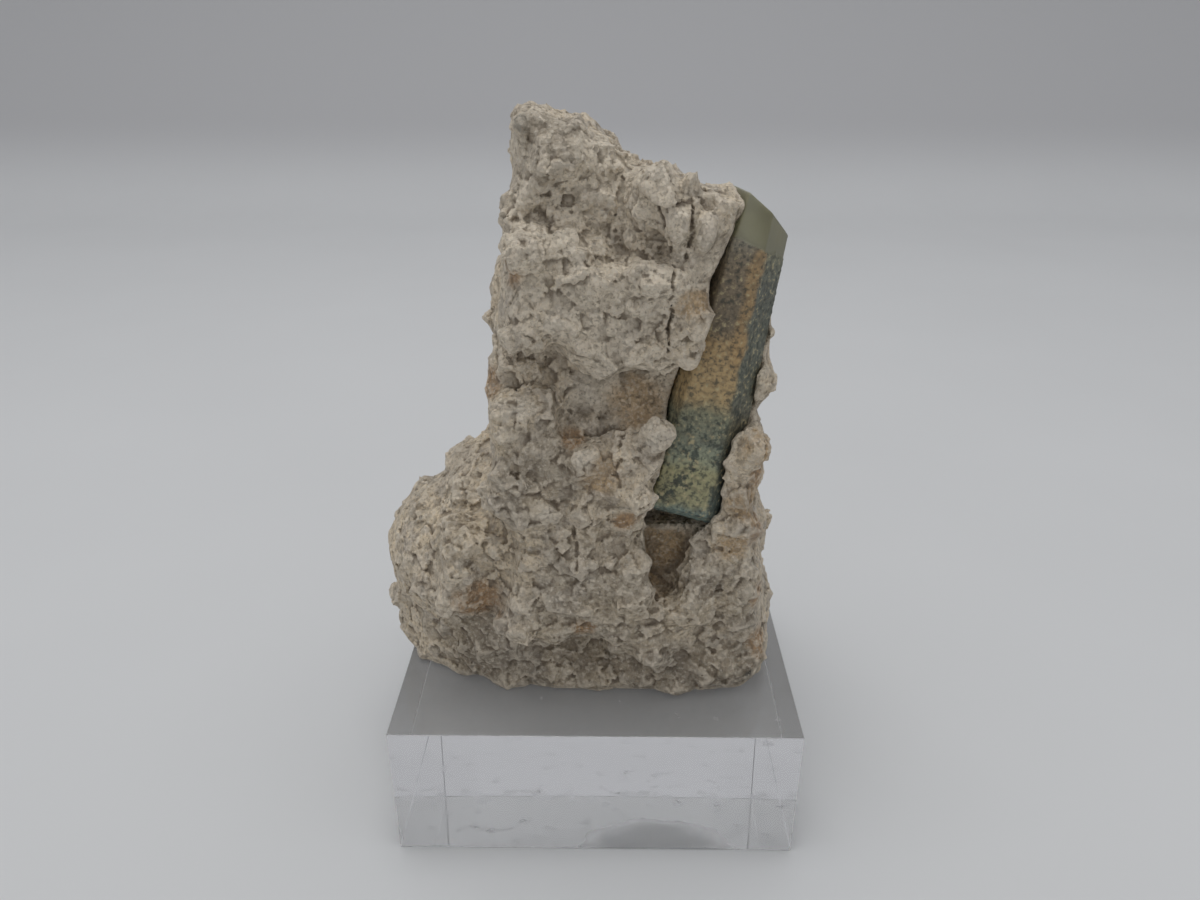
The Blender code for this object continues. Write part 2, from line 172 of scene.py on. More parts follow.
# Cleavage pieces of the front that show one by one: name, place, how far the middle stands out of the
# surface and half sizes in mm, turn in degrees, and width of the worn edge in mm
CHUNKS = [
    ("tooth_neighbour", (8.5, 78.7), 0.5, (1.2, 1.0, 2.3), (4, -6, -22), 0.15),
    ("top_block", (6.3, 83.1), 0.5, (1.8, 1.1, 2.2), (-14, 16, -8), 0.15),
    ("top_block_right", (9.2, 82.4), 0.4, (1.0, 1.1, 1.9), (-6, -18, 34), 0.15),
    ("by_the_tip", (12.8, 79.8), 0.0, (1.2, 1.0, 1.6), (4, 10, 20), 0.15),
    ("border_top", (14.2, 76.0), 0.5, (1.0, 0.8, 1.7), (2, 12, 6), 0.12),
    ("pink_block", (12.6, 72.0), 0.5, (1.7, 0.8, 2.4), (4, 16, 4), 0.12),
    ("border_middle", (11.0, 68.2), 0.4, (1.4, 0.7, 1.9), (-6, 8, 12), 0.12),
    ("pillar_low", (9.9, 65.2), 0.3, (1.5, 0.7, 1.8), (-2, 18, 6), 0.12),
    ("boat", (-3.8, 68.6), 0.4, (2.4, 1.1, 1.1), (20, 24, -6), 0.3),
    ("lump_left", (-5.7, 82.4), 0.3, (2.6, 1.1, 1.9), (14, -20, 14), 0.15),
    ("lump_middle", (0.5, 80.8), -0.1, (2.2, 1.0, 1.6), (10, 26, -10), 0.15),
    ("recess_left", (-2.3, 79.2), 0.6, (2.6, 1.1, 1.7), (12, 10, -8), 0.15),
    ("below_plane", (-1.6, 55.8), 0.5, (2.5, 1.0, 1.6), (20, -14, 10), 0.15),
    ("recess_floor", (5.2, 77.0), 0.6, (2.6, 1.2, 1.9), (20, 28, 8), 0.15),
    ("pit_floor", (-2.2, 73.4), 0.7, (2.6, 1.4, 1.6), (30, -20, 0), 0.2),
    ("brow_left", (-0.8, 66.4), -0.2, (2.5, 0.9, 1.7), (-22, 22, 8), 0.15),
    ("brow_mid", (4.0, 65.6), -0.2, (3.0, 0.8, 1.9), (-24, -14, -4), 0.15),
    ("chunk_by_crystal", (6.7, 55.3), 0.3, (1.7, 1.0, 2.1), (8, 36, 12), 0.1),
    ("grey_chunk", (5.8, 51.2), 0.0, (1.6, 0.9, 1.9), (-4, 18, -30), 0.12),
    ("bright_chunk", (4.9, 47.5), 0.5, (2.1, 1.0, 1.6), (-20, 34, 6), 0.1),
    ("cream_lump", (-1.1, 52.4), 0.0, (1.7, 0.9, 1.2), (14, -22, 30), 0.2),
    ("triangle_chip", (-6.1, 45.5), 0.5, (1.9, 0.8, 1.5), (-6, 42, 10), 0.08),
    ("spar_right", (-1.6, 44.4), -0.1, (1.4, 0.8, 2.5), (4, -16, -28), 0.1),
    ("spar_middle", (1.4, 41.2), -0.1, (2.4, 0.8, 2.1), (-18, 28, 4), 0.1),
    ("ledge_middle", (-3.0, 32.4), -0.2, (3.0, 1.1, 2.4), (-18, -16, 2), 0.15),
    ("ledge_right", (4.4, 31.4), -0.1, (2.0, 1.0, 2.6), (-16, -28, 6), 0.12),
    ("lap_block", (16.6, 47.6), -0.1, (1.6, 0.7, 2.5), (2, 18, -28), 0.1),
    ("right_low_a", (12.4, 31.4), -0.2, (2.2, 1.0, 3.0), (-8, 24, 26), 0.15),
    ("right_low_b", (17.4, 35.0), -0.2, (1.9, 0.9, 3.2), (-4, -22, -20), 0.15),
]
# How the pieces are broken: how far corners move, how many parts are knocked off, and how near the middle
CHUNK_SEED = 5
CHUNK_ASKEW = 0.3
CHUNK_BREAKS = 5
CHUNK_BREAK_REACH = (0.42, 0.75)
# A rounded, water-clear grain near the crystal's tip: place, half sizes in mm and turn in degrees
TOOTH_PLACE = (11.0, 78.0)
TOOTH_HALF = (1.3, 1.9, 2.3)
TOOTH_TURN = (6, 8, 18)

# Cleavage pieces set all over the skin, coarse to fine: spacing, least and greatest half width, half
# thickness, least and greatest height over the skin, all in mm, lean from the skin in degrees, and a seed
PIECE_LAYERS = [
    (2.2, (1.1, 2.1), 1.2, (-0.50, 0.12), 24, 3),
    (1.4, (0.6, 1.2), 0.7, (-0.30, 0.08), 32, 8),
]
# How much deeper pieces sit on the sides, which broke flatter than the front
SIDE_SINK = 0.9
# Leaning flat faces over the pieces: size in mm and slope, and the size and reach of their border's drift
FACET_SIZE = 2.0
FACET_TILT = 0.14
FACET_DRIFT = (3 * MM, 0.3 * MM)
# Pits between the pieces are part filled with dust and crumbs: width of the neighbourhood in steps of the
# mesh, depth in mm that stays, and the share of the rest that is filled
HOLLOW_FILLS = [(12, 0.03, 1.2), (12, 0.03, 1.2), (8, 0.03, 1.0), (40, 0.25, 0.8)]
# Passes of smoothing before and after the pieces are set in, and share of the triangles kept at the end
SMOOTH_BEFORE = 6
SMOOTH_AFTER = 2
ROCK_KEPT = 0.62

# Cracks: two ends, depth and half width in mm
CRACKS = [
    ((8.1, -16, 74.4), (7.8, -16, 65.4), 0.55, 0.22),
    ((9.9, -16, 64.9), (7.2, -17, 62.9), 0.50, 0.30),
    ((6.4, -16, 80.6), (8.0, -16, 75.6), 0.35, 0.20),
    ((10.0, -16, 80.6), (9.5, -16, 75.4), 0.50, 0.22),
    ((-2.5, -17, 44.6), (-2.0, -17, 38.4), 0.40, 0.22),
    ((2.6, -18, 38.6), (5.2, -17, 42.4), 0.40, 0.22),
]
# Size and reach of a crack's wander, and the depths in the rock between which it runs out
CRACK_WANDER = (1.6 * MM, 0.45 * MM)
CRACK_BACK = -12 * MM
CRACK_FRONT = -13 * MM

# Where the rock stays smooth, as a place and a radius in mm: the cleavage plane, the floor of the mould
# that the crystal's lost end left, and the rounded grain
SMOOTH_SPOTS = [((0.2, 60.0), 3.4), ((6.4, 59.6), 3.6), ((8.1, 41.2), 4.6), (TOOTH_PLACE, 2.6)]
# Shares of that radius between which roughness sets in, and what is left of it in the middle
SMOOTH_START = 0.7
SMOOTH_END = 1.1
SMOOTH_LEFT = 0.12
# Height over the block at which the foot of the rock is fully rough
FOOT_SMOOTH = 1.2 * MM


def seen_at(across, up):
    """The point of the rock that shows at this place from the camera."""
    through = Vector((across, SEEN_PLANE, up))
    way = (through - Vector(CAMERA_PLACE)).normalized()
    hit, surface, _, _ = ROCK.ray_cast(Vector(CAMERA_PLACE) * MM, way)
    if not hit:
        _, surface, _, _ = ROCK.closest_point_on_mesh(through * MM)
    return surface


def broken_chunk(name, place, half, turn, worn, dice):
    """A cleavage piece: a block knocked a little askew, with parts of it broken off and worn edges."""
    bpy.ops.object.select_all(action="DESELECT")
    bpy.ops.mesh.primitive_cube_add(size=2, location=place, rotation=[math.radians(angle) for angle in turn])
    chunk = bpy.context.active_object
    chunk.name = name
    chunk.scale = Vector(half) * MM
    bpy.ops.object.transform_apply(location=True, rotation=True, scale=True)
    bpy.ops.object.mode_set(mode="EDIT")
    bpy.ops.mesh.select_all(action="SELECT")
    bpy.ops.transform.vertex_random(offset=CHUNK_ASKEW * MM, seed=dice.randrange(1000))
    for _ in range(CHUNK_BREAKS):
        way = Vector([dice.uniform(-1, 1), dice.uniform(-1, 0), dice.uniform(-1, 1)]).normalized()
        reach = sum(abs(way[i]) * half[i] for i in range(3)) * dice.uniform(*CHUNK_BREAK_REACH)
        bpy.ops.mesh.select_all(action="SELECT")
        bpy.ops.mesh.bisect(plane_co=place + way * reach * MM, plane_no=way, use_fill=True, clear_outer=True)
    bpy.ops.mesh.select_all(action="SELECT")
    bpy.ops.mesh.bevel(offset=worn * MM, segments=2, affect="EDGES", clamp_overlap=True)
    bpy.ops.object.mode_set(mode="OBJECT")
    return chunk


def add_chunks(rock):
    """Breaks each named piece to shape, sets it and the rounded grain in the surface, and joins them on."""
    dice = random.Random(CHUNK_SEED)
    chunks = []
    for name, (across, up), stand_out, half, turn, worn in CHUNKS:
        place = seen_at(across, up) - Vector((0, stand_out * MM, 0))
        chunks.append(broken_chunk(name, place, half, turn, worn, dice))
    bpy.ops.mesh.primitive_uv_sphere_add(radius=1, location=seen_at(*TOOTH_PLACE),
                                         rotation=[math.radians(angle) for angle in TOOTH_TURN])
    tooth = bpy.context.active_object
    tooth.name = "tooth"
    tooth.scale = Vector(TOOTH_HALF) * MM
    chunks.append(tooth)
    only(rock)
    for chunk in chunks:
        chunk.select_set(True)
    bpy.ops.object.join()


def roughness_mask(tree, position, reach):
    """1 where the rock is broken rough, and 0 on its smooth places, its underside and near the crystal."""
    height = add(tree, "ShaderNodeSeparateXYZ", {0: position}).outputs["Z"]
    mask = add(tree, "ShaderNodeMapRange", {
        "Value": height, "From Min": REST_HEIGHT, "From Max": REST_HEIGHT + FOOT_SMOOTH},
        interpolation_type="SMOOTHSTEP")
    for place, radius in SMOOTH_SPOTS:
        apart = add(tree, "ShaderNodeVectorMath", {0: position, 1: seen_at(*place)}, operation="DISTANCE")
        outside = add(tree, "ShaderNodeMapRange", {
            "Value": apart, "From Min": SMOOTH_START * radius * MM, "From Max": SMOOTH_END * radius * MM,
            "To Min": SMOOTH_LEFT}, interpolation_type="SMOOTHSTEP")
        mask = add(tree, "ShaderNodeMath", {0: mask, 1: outside}, operation="MULTIPLY")
    crystal = add(tree, "GeometryNodeObjectInfo", {"Object": CRYSTAL}).outputs["Geometry"]
    near = add(tree, "GeometryNodeProximity", {"Geometry": crystal, "Sample Position": position})
    clear = add(tree, "ShaderNodeMapRange", {
        "Value": near.outputs["Distance"], "From Min": 0.3 * reach, "From Max": reach},
        interpolation_type="SMOOTHSTEP")
    return add(tree, "ShaderNodeMath", {0: mask, 1: clear}, operation="MULTIPLY")


def piece_scatter(spacing, half_width, half_thick, stand, lean, seed):
    """Geometry nodes that turn the skin into the cleavage pieces set into it, each with a tone of its own."""
    tree, skin, finish = geometry_group(f"cleavage_pieces_{seed}")
    position = add(tree, "GeometryNodeInputPosition").outputs[0]
    mask = roughness_mask(tree, position, (1.1 * half_width[1] + 0.4) * MM)
    rough = add(tree, "FunctionNodeCompare", {0: mask, 1: 0.9}, operation="GREATER_THAN")
    points = add(tree, "GeometryNodeDistributePointsOnFaces", {
        "Mesh": skin, "Selection": rough, "Distance Min": 0.6 * spacing * MM,
        "Density Max": 2 / (spacing * MM) ** 2, "Seed": seed}, distribute_method="POISSON")
    rise = add(tree, "FunctionNodeRandomValue", {
        2: (stand[0] - half_thick) * MM, 3: (stand[1] - half_thick) * MM, "Seed": seed})
    sideways = add(tree, "ShaderNodeSeparateXYZ", {0: points.outputs["Normal"]}).outputs["X"]
    side = add(tree, "ShaderNodeMath", {0: sideways}, operation="ABSOLUTE")
    deeper = add(tree, "ShaderNodeMath", {0: side, 1: -SIDE_SINK * MM, 2: rise},
                 operation="MULTIPLY_ADD")
    offset = add(tree, "ShaderNodeVectorMath", {0: points.outputs["Normal"], "Scale": deeper},
                 operation="SCALE")
    placed = add(tree, "GeometryNodeSetPosition", {"Geometry": points, "Offset": offset})
    swing = math.radians(lean)
    turn = add(tree, "FunctionNodeRandomValue", {
        0: (-swing, -swing, -math.pi), 1: (swing, swing, math.pi), "Seed": seed + 1},
        data_type="FLOAT_VECTOR")
    turned = add(tree, "FunctionNodeRotateRotation", {
        "Rotation": points.outputs["Rotation"], "Rotate By": turn}, rotation_space="LOCAL")
    size = add(tree, "FunctionNodeRandomValue", {
        0: (half_width[0], half_width[0], 0.7 * half_thick),
        1: (half_width[1], half_width[1], half_thick), "Seed": seed + 2}, data_type="FLOAT_VECTOR")
    block = add(tree, "GeometryNodeMeshCube", {"Size": (2 * MM, 2 * MM, 2 * MM)})
    pieces = add(tree, "GeometryNodeInstanceOnPoints", {
        "Points": placed, "Instance": block.outputs["Mesh"], "Rotation": turned, "Scale": size})
    tone = add(tree, "FunctionNodeRandomValue", {"Seed": seed + 3})
    toned = add(tree, "GeometryNodeStoreNamedAttribute", {
        "Geometry": pieces, "Name": "tone", "Value": tone}, data_type="FLOAT", domain="INSTANCE")
    real = add(tree, "GeometryNodeRealizeInstances", {"Geometry": toned})
    tree.links.new(real.outputs[0], finish)
    return tree


def facets(tree, place, size, tilt):
    """Height of broken grains of this size, each a flat face that leans its own way, and a value for each."""
    cells = add(tree, "ShaderNodeTexVoronoi", {"Vector": place, "Scale": 1 / size})
    lean = add(tree, "ShaderNodeVectorMath", {0: cells.outputs["Color"], 1: (0.5, 0.5, 0.5)},
               operation="SUBTRACT")
    from_middle = add(tree, "ShaderNodeVectorMath", {0: place, 1: cells.outputs["Position"]},
                      operation="SUBTRACT")
    slope = add(tree, "ShaderNodeVectorMath", {0: lean, 1: from_middle}, operation="DOT_PRODUCT")
    height = add(tree, "ShaderNodeMath", {0: slope.outputs["Value"], 1: 2 * tilt}, operation="MULTIPLY")
    return height, add(tree, "ShaderNodeSeparateXYZ", {0: cells.outputs["Color"]}).outputs["X"]


def crack_mask(tree, position, start, end, half_width):
    """1 in the middle of a crack in the front between two points, and 0 beside it."""
    along = Vector(end) * MM - Vector(start) * MM
    wandering = warped(tree, position, *CRACK_WANDER)
    from_start = add(tree, "ShaderNodeVectorMath", {0: wandering, 1: Vector(start) * MM},
                     operation="SUBTRACT")
    run = add(tree, "ShaderNodeVectorMath", {0: from_start, 1: along}, operation="DOT_PRODUCT")
    part = add(tree, "ShaderNodeMath", {0: run, 1: along.length_squared}, operation="DIVIDE",
               use_clamp=True)
    nearest = add(tree, "ShaderNodeVectorMath", {0: along, "Scale": part}, operation="SCALE")
    away = add(tree, "ShaderNodeVectorMath", {0: from_start, 1: nearest}, operation="SUBTRACT")
    across = add(tree, "ShaderNodeVectorMath", {0: away, 1: (1, 0, 1)}, operation="MULTIPLY")
    apart = add(tree, "ShaderNodeVectorMath", {0: across}, operation="LENGTH")
    opened = add(tree, "ShaderNodeMapRange", {
        "Value": apart, "From Min": half_width * MM, "From Max": 0.0}, interpolation_type="SMOOTHSTEP")
    depth = add(tree, "ShaderNodeSeparateXYZ", {0: position}).outputs["Y"]
    front = add(tree, "ShaderNodeMapRange", {
        "Value": depth, "From Min": CRACK_BACK, "From Max": CRACK_FRONT}, interpolation_type="SMOOTHSTEP")
    return add(tree, "ShaderNodeMath", {0: opened, 1: front}, operation="MULTIPLY")


def raised(tree, geometry, height):
    """The geometry with each point moved out along the mean normal of its neighbourhood."""
    normal = add(tree, "GeometryNodeBlurAttribute", {
        "Value": add(tree, "GeometryNodeInputNormal"), "Iterations": 12}, data_type="FLOAT_VECTOR")
    offset = add(tree, "ShaderNodeVectorMath", {0: normal, "Scale": height}, operation="SCALE")
    return add(tree, "GeometryNodeSetPosition", {"Geometry": geometry, "Offset": offset})


def hollow_depth(tree, steps):
    """How far each point lies below the mean of its neighbourhood, in mm."""
    position = add(tree, "GeometryNodeInputPosition")
    normal = add(tree, "GeometryNodeInputNormal")
    spread = add(tree, "GeometryNodeBlurAttribute", {"Value": position, "Iterations": steps},
                 data_type="FLOAT_VECTOR")
    lift = add(tree, "ShaderNodeVectorMath", {0: spread, 1: position}, operation="SUBTRACT")
    depth = add(tree, "ShaderNodeVectorMath", {0: lift, 1: normal}, operation="DOT_PRODUCT")
    return add(tree, "ShaderNodeMath", {0: depth, 1: MM}, operation="DIVIDE")


def broken_skin(pieces):
    """Geometry nodes that part fill pits, lean faces, open cracks and keep what the material reads."""
    tree, geometry, finish = geometry_group("broken_skin")
    position = add(tree, "GeometryNodeInputPosition").outputs[0]
    mask = roughness_mask(tree, position, 1.2 * MM)
    source = add(tree, "GeometryNodeObjectInfo", {"Object": pieces}).outputs["Geometry"]
    tone = add(tree, "GeometryNodeInputNamedAttribute", {"Name": "tone"}, data_type="FLOAT")
    nearest = add(tree, "GeometryNodeSampleNearestSurface", {
        "Mesh": source, "Value": tone, "Sample Position": position}, data_type="FLOAT")
    height, shade = facets(tree, warped(tree, position, *FACET_DRIFT), FACET_SIZE * MM, FACET_TILT)
    for name, value in (("tone", nearest), ("grain", shade)):
        geometry = add(tree, "GeometryNodeStoreNamedAttribute", {
            "Geometry": geometry, "Name": name, "Value": value}, data_type="FLOAT", domain="POINT")

    for steps, spared, share in HOLLOW_FILLS:
        deep = add(tree, "ShaderNodeMath", {0: hollow_depth(tree, steps), 1: spared},
                   operation="SUBTRACT")
        filled = add(tree, "ShaderNodeMath", {0: deep, 1: 0.0}, operation="MAXIMUM")
        fill = add(tree, "ShaderNodeMath", {0: filled, 1: share * MM}, operation="MULTIPLY")
        masked = add(tree, "ShaderNodeMath", {0: fill, 1: mask}, operation="MULTIPLY")
        geometry = raised(tree, geometry, masked)

    total = add(tree, "ShaderNodeMath", {0: height, 1: mask}, operation="MULTIPLY")
    for start, end, depth, half_width in CRACKS:
        crack = crack_mask(tree, position, start, end, half_width)
        sink = add(tree, "ShaderNodeMath", {0: crack, 1: -depth * MM}, operation="MULTIPLY")
        total = add(tree, "ShaderNodeMath", {0: total, 1: sink}, operation="ADD")
    geometry = raised(tree, geometry, total)

    # Nothing sinks below the underside
    parts = add(tree, "ShaderNodeSeparateXYZ", {0: position}).outputs
    lifted = add(tree, "ShaderNodeMath", {0: parts["Z"], 1: REST_HEIGHT}, operation="MAXIMUM")
    held = add(tree, "ShaderNodeCombineXYZ", {"X": parts["X"], "Y": parts["Y"], "Z": lifted})
    geometry = add(tree, "GeometryNodeSetPosition", {"Geometry": geometry, "Position": held})
    for name, steps in (("hollow_fine", 4), ("hollow_wide", 40)):
        geometry = add(tree, "GeometryNodeStoreNamedAttribute", {
            "Geometry": geometry, "Name": name, "Value": hollow_depth(tree, steps)},
            data_type="FLOAT", domain="POINT")
    tree.links.new(geometry.outputs[0], finish)
    return tree


def make_rock():
    """The rock: its solid, set with cleavage pieces, joined into one skin and broken finer."""
    rock = merged_copy(ROCK, "feldspar_matrix")
    apply_modifier(rock, "REMESH", mode="VOXEL", voxel_size=ROCK_VOXEL)
    keep_largest_part(rock)
    apply_modifier(rock, "SMOOTH", factor=SMOOTH_FACTOR, iterations=SMOOTH_BEFORE)
    layers = []
    for layer in PIECE_LAYERS:
        pieces = bpy.data.objects.new("pieces", rock.data.copy())
        bpy.context.scene.collection.objects.link(pieces)
        apply_modifier(pieces, "NODES", node_group=piece_scatter(*layer))
        layers.append(pieces)
    pieces = layers[0]
    only(pieces)
    for layer in layers[1:]:
        layer.select_set(True)
    bpy.ops.object.join()
    bpy.ops.object.duplicate()
    copy = bpy.context.active_object
    only(rock)
    copy.select_set(True)
    bpy.ops.object.join()
    add_chunks(rock)
    apply_modifier(rock, "REMESH", mode="VOXEL", voxel_size=ROCK_VOXEL)
    keep_largest_part(rock)
    apply_modifier(rock, "SMOOTH", factor=SMOOTH_FACTOR, iterations=SMOOTH_AFTER)
    apply_modifier(rock, "NODES", node_group=broken_skin(pieces))
    apply_modifier(rock, "DECIMATE", ratio=ROCK_KEPT)
    bpy.data.objects.remove(pieces)
    return rock


# Crystal

# The front edge of the prism at two heights in mm, (x, z), which parts its left face from its right face
FRONT_EDGE_LOW = (12.8, 43.0)
FRONT_EDGE_HIGH = (17.7, 77.0)
FRONT_EDGE_SLOPE = (FRONT_EDGE_HIGH[0] - FRONT_EDGE_LOW[0]) / (FRONT_EDGE_HIGH[1] - FRONT_EDGE_LOW[1])
# Where the crust ends below the clean tip: height at the left edge, and its fall for each mm to the right
CRUST_TOP = 77.3
CRUST_TOP_LEFT = 14.6
CRUST_FALL = 0.52
# How far the crust's ragged end wanders: size and reach
CRUST_WANDER = (1.2 * MM, 0.35 * MM)
# Turn that stands the prism's long axis upright, in degrees
AXIS_TURN = (2.0, -11.1, 0.0)
# Relief of the crust, of its grains and of the growth lines, in mm
CRUST_THICK = 0.08
CRUST_GRAIN = 0.16
LINE_DEPTH = 0.05
# Sizes of the crust's grains and crumbs, and width of the growth lines and how drawn out they are
GRAIN_SIZE = 0.55 * MM
CRUMB_SIZE = 1.4 * MM
LINE_WIDTH = 0.5 * MM
LINE_STRETCH = 14
# Wear of the prism's edges
CRYSTAL_WORN = 0.14 * MM
# Triangles of the solid that meet flatter than this are one face, in degrees
FLAT_ANGLE = 1


def crust_end(tree, position):
    """How far a point lies below the ragged upper end of the crust, in mm."""
    drifting = warped(tree, position, *CRUST_WANDER)
    parts = add(tree, "ShaderNodeSeparateXYZ", {0: drifting}).outputs
    right = add(tree, "ShaderNodeMath", {0: parts["X"], 1: CRUST_TOP_LEFT * MM}, operation="SUBTRACT")
    fall = add(tree, "ShaderNodeMath", {0: right, 1: CRUST_FALL}, operation="MULTIPLY")
    level = add(tree, "ShaderNodeMath", {0: CRUST_TOP * MM, 1: fall}, operation="SUBTRACT")
    below = add(tree, "ShaderNodeMath", {0: level, 1: parts["Z"]}, operation="SUBTRACT")
    return add(tree, "ShaderNodeMath", {0: below, 1: MM}, operation="DIVIDE")


def upright(tree, position, stretch):
    """Coordinates along the prism, drawn out along its long axis."""
    turn = [math.radians(angle) for angle in AXIS_TURN]
    turned = add(tree, "ShaderNodeVectorRotate", {"Vector": position, "Rotation": turn},
                 rotation_type="EULER_XYZ")
    return add(tree, "ShaderNodeVectorMath", {0: turned, 1: (1, 1, 1 / stretch)}, operation="MULTIPLY")


def crusted_skin():
    """Geometry nodes that lay the grained crust on the prism and cut growth lines all over it."""
    tree, geometry, finish = geometry_group("crusted_skin")
    position = add(tree, "GeometryNodeInputPosition").outputs[0]
    crust = add(tree, "ShaderNodeMapRange", {
        "Value": crust_end(tree, position), "From Min": -0.1, "From Max": 0.15},
        interpolation_type="SMOOTHSTEP")
    grains = add(tree, "ShaderNodeTexVoronoi", {
        "Vector": warped(tree, position, 0.8 * MM, 0.15 * MM), "Scale": 1 / GRAIN_SIZE})
    crumbs = add(tree, "ShaderNodeTexNoise", {"Vector": position, "Scale": 1 / CRUMB_SIZE, "Detail": 4.0})
    bumps = add(tree, "ShaderNodeMath", {0: crumbs, 1: grains.outputs["Distance"]}, operation="SUBTRACT")
    grained = add(tree, "ShaderNodeMath", {0: bumps, 1: CRUST_GRAIN, 2: CRUST_THICK},
                  operation="MULTIPLY_ADD")
    laid = add(tree, "ShaderNodeMath", {0: grained, 1: crust}, operation="MULTIPLY")
    lines = add(tree, "ShaderNodeTexNoise", {
        "Vector": upright(tree, position, LINE_STRETCH), "Scale": 1 / LINE_WIDTH, "Detail": 3.0})
    furrow = add(tree, "ShaderNodeMath", {0: lines, 1: -0.5}, operation="ADD")
    cut = add(tree, "ShaderNodeMath", {0: furrow, 1: LINE_DEPTH}, operation="MULTIPLY")
    relief = add(tree, "ShaderNodeMath", {0: laid, 1: cut}, operation="ADD")
    height = add(tree, "ShaderNodeMath", {0: relief, 1: MM}, operation="MULTIPLY")
    for name, value in (("crust", crust), ("grains", grains.outputs["Distance"])):
        geometry = add(tree, "GeometryNodeStoreNamedAttribute", {
            "Geometry": geometry, "Name": name, "Value": value}, data_type="FLOAT", domain="POINT")
    geometry = raised(tree, geometry, height)
    tree.links.new(geometry.outputs[0], finish)
    return tree


def make_crystal():
    """The crystal: its solid with worn edges, a fine skin, growth lines and the crust."""
    crystal = merged_copy(CRYSTAL, "aquamarine_prism")
    bpy.ops.object.mode_set(mode="EDIT")
    bpy.ops.mesh.select_all(action="SELECT")
    bpy.ops.mesh.dissolve_limited(angle_limit=math.radians(FLAT_ANGLE))
    bpy.ops.mesh.bevel(offset=CRYSTAL_WORN, segments=2, affect="EDGES")
    bpy.ops.object.mode_set(mode="OBJECT")
    apply_modifier(crystal, "REMESH", mode="VOXEL", voxel_size=CRYSTAL_VOXEL)
    apply_modifier(crystal, "SMOOTH", factor=SMOOTH_FACTOR, iterations=SMOOTH_AFTER)
    apply_modifier(crystal, "NODES", node_group=crusted_skin())
    bpy.ops.object.shade_smooth()
    return crystal


# Block

# Width of the polished round on each edge
BLOCK_ROUND = 0.12 * MM


def make_block():
    """The clear block, with its edges as sharp as polishing leaves them."""
    low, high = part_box("display_block")
    bpy.ops.object.select_all(action="DESELECT")
    bpy.ops.mesh.primitive_cube_add(size=1, location=(low + high) / 2, scale=high - low)
    block = bpy.context.active_object
    block.name = "acrylic_block"
    bpy.ops.object.transform_apply(location=True, rotation=True, scale=True)
    bpy.ops.object.mode_set(mode="EDIT")
    bpy.ops.mesh.select_all(action="SELECT")
    bpy.ops.mesh.bevel(offset=BLOCK_ROUND, segments=2, affect="EDGES")
    bpy.ops.object.mode_set(mode="OBJECT")
    return block


# Materials

def new_material(name):
    """An empty material and its node tree."""
    material = bpy.data.materials.new(name)
    material.use_nodes = True
    material.node_tree.nodes.clear()
    return material, material.node_tree


def tinted(tree, colour, tint, strength, *steps):
    """The colour with a tint over it, in full where each step's value has passed from start to end."""
    part = strength
    for value, start, end in steps:
        part = add(tree, "ShaderNodeMapRange", {
            "Value": value, "From Min": start, "From Max": end, "To Max": part},
            interpolation_type="SMOOTHSTEP")
    return add(tree, "ShaderNodeMix", {0: part, 6: colour, 7: tint}, data_type="RGBA")


# Tones of the clean rock in turn: what each follows, where it starts and is full, strength and colour
ROCK_TONES = [
    ("blotch", 0.35, 0.65, 1.0, "#D5C7B1"),
    ("tone", 0.4, 0.0, 0.6, "#ACA295"),
    ("tone", 0.6, 1.0, 0.6, "#E0D4C0"),
]
ROCK_COLOUR = "#EAD7B8"
BLOTCH_SIZE = 9 * MM

# Where the rock's front has another colour, some of them stains and some painted light and shade: the colour,
# how strong it is, and places and radii in mm
PATCHES = [
    # Painted light: paler colour over the upper half and over the cleavage plane
    ("#EEE1CB", 0.75, [((0.5, 76.0), 17.0), ((4.0, 60.0), 7.0)]),
    # Painted shade: darker colour lower down
    ("#988D7B", 0.5, [((2.0, 33.0), 14.0), ((17.0, 33.0), 7.0), ((-6.5, 50.0), 7.0),
                      ((-18.0, 42.0), 6.0)]),
    # Painted shade: darker colour at the foot
    ("#6D6253", 0.57, [((-15.0, 25.0), 8.0), ((-4.0, 22.5), 8.0), ((8.0, 22.0), 8.0),
                       ((17.0, 23.0), 6.0)]),
    # Painted shade: grey in the hollows and pits
    ("#877C6C", 0.45, [((-4.0, 87.5), 4.5), ((-8.9, 82.0), 1.6), ((-3.0, 73.0), 2.6),
                       ((2.4, 76.2), 2.4), ((4.0, 63.4), 2.2), ((-8.0, 50.5), 3.4),
                       ((0.5, 47.0), 2.0), ((13.0, 35.5), 3.0)]),
    # Tan clay
    ("#C09F72", 0.75, [((4.6, 59.4), 4.5), ((0.6, 50.6), 3.4), ((8.0, 41.0), 4.5),
                       ((6.4, 35.4), 3.5), ((10.6, 70.5), 2.6), ((19.4, 54.0), 3.4),
                       ((17.8, 47.0), 3.4), ((16.2, 41.0), 2.6)]),
    # Iron stain
    ("#AB7F4C", 0.75, [((-14.5, 33.0), 4.0), ((-11.8, 61.5), 3.0), ((-12.2, 73.0), 2.6),
                       ((-2.6, 54.6), 2.2), ((3.4, 44.5), 1.8), ((-1.6, 29.0), 2.0),
                       ((22.5, 27.0), 2.6), ((22.3, 34.0), 2.6), ((21.8, 42.0), 2.6),
                       ((21.0, 50.0), 2.4)]),
    # Single pieces paler than the rest, some in their own colour and some with a painted highlight where
    # their tops catch the light
    ("#F1E7D5", 0.6, [((-6.1, 45.5), 1.9), ((4.9, 47.5), 2.1), ((6.7, 55.3), 2.3),
                      ((6.3, 83.1), 2.3), ((-3.8, 68.6), 2.4), ((-8.8, 58.6), 2.6),
                      ((-1.1, 52.4), 1.9), ((-2.0, 60.4), 3.0)]),
    # The rounded clear grain
    ("#A39883", 0.85, [(TOOTH_PLACE, 2.0)]),
    # Dark mica
    ("#33342E", 0.92, [((-8.4, 88.4), 1.4), ((19.6, 21.6), 1.2), ((-20.4, 44.7), 0.5),
                       ((16.6, 56.6), 0.7), ((2.4, 80.3), 0.3)]),
]
